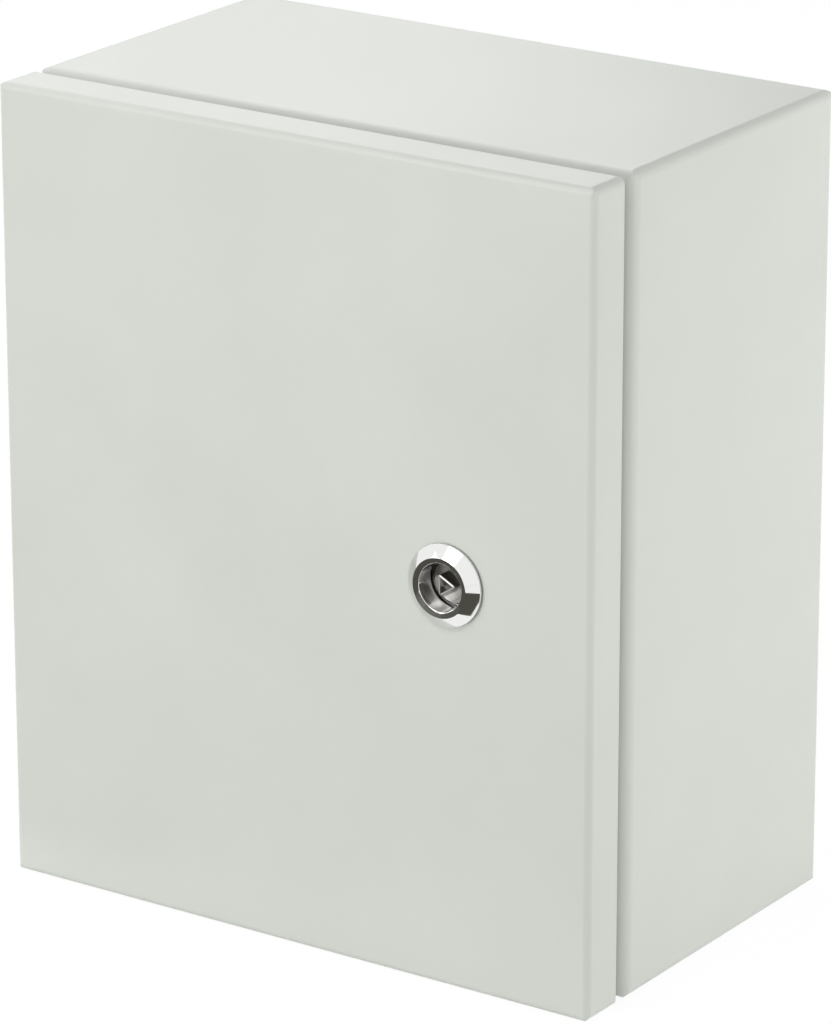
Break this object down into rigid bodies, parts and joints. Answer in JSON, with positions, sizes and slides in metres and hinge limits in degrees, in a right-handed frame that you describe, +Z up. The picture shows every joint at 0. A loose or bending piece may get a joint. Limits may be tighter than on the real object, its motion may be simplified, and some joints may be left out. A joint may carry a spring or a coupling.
{
  "type": "steel wall enclosure",
  "caption": "Wall-mounted sheet-steel enclosure with a rain gutter, a gasketed hinged door, a quarter-turn cam lock and a mounting plate.",
  "frame": {"origin": "middle of the wall-hole pattern, on the rear face that lies on the wall", "axes": "+Z up, +Y into the wall, so the door faces -Y and its lock is on the +X side"},
  "size_m": [0.25, 0.1603, 0.3],
  "materials": {
    "powder_coated_steel": "powder coat, light grey, fine texture, semi-matt",
    "galvanised_sheet": "hot-dip galvanised, fine spangle",
    "zinc_plated_steel": "zinc plated, blue passivated",
    "copper_flashed_steel": "copper-flashed weld stud",
    "die_cast_zinc": "die cast, tumbled",
    "chrome_plated_zinc": "polished chrome plate",
    "foamed_gasket": "foamed-in-place polyurethane, matt skin",
    "black_rubber": "moulded rubber, matt",
    "spring_steel": "phosphated spring steel"
  },
  "bodies": {
    "enclosure": {"housing": "powder_coated_steel", "mounting_plate": "galvanised_sheet", "plate_studs": "copper_flashed_steel", "plate_spacers": "zinc_plated_steel", "plate_washers": "zinc_plated_steel", "plate_nuts": "zinc_plated_steel", "gland_plate": "galvanised_sheet", "gland_gasket": "black_rubber", "gland_studs": "copper_flashed_steel", "gland_washers": "zinc_plated_steel", "gland_nuts": "zinc_plated_steel", "housing_earth_stud": "copper_flashed_steel", "housing_earth_washer": "zinc_plated_steel", "housing_earth_nut": "zinc_plated_steel", "upper_hinge_arm": "die_cast_zinc", "lower_hinge_arm": "die_cast_zinc", "hinge_arm_screws": "zinc_plated_steel"},
    "door": {"door_shell": "powder_coated_steel", "door_gasket": "foamed_gasket", "upper_hinge_leaf": "zinc_plated_steel", "lower_hinge_leaf": "zinc_plated_steel", "upper_hinge_pin": "zinc_plated_steel", "lower_hinge_pin": "zinc_plated_steel", "hinge_pin_clips": "spring_steel", "door_earth_stud": "copper_flashed_steel", "door_earth_washer": "zinc_plated_steel", "door_earth_nut": "zinc_plated_steel", "lock_housing": "chrome_plated_zinc", "lock_seal": "black_rubber", "lock_nut": "zinc_plated_steel"},
    "lock_rotor": {"lock_spindle": "die_cast_zinc", "spindle_o_ring": "black_rubber", "stop_washer": "zinc_plated_steel", "lock_cam": "zinc_plated_steel", "cam_washer": "zinc_plated_steel", "cam_screw": "zinc_plated_steel"}
  },
  "joints": [
    {"name": "door_hinge", "type": "hinge", "parent": "enclosure", "child": "door", "pos_m": [-0.1185, -0.1492, 0], "axis": [0, 0, -1], "range_deg": [0, 110]},
    {"name": "lock_turn", "type": "hinge", "parent": "door", "child": "lock_rotor", "pos_m": [0.066, -0.15, 0], "axis": [0, -1, 0], "range_deg": [0, 90]}
  ]
}
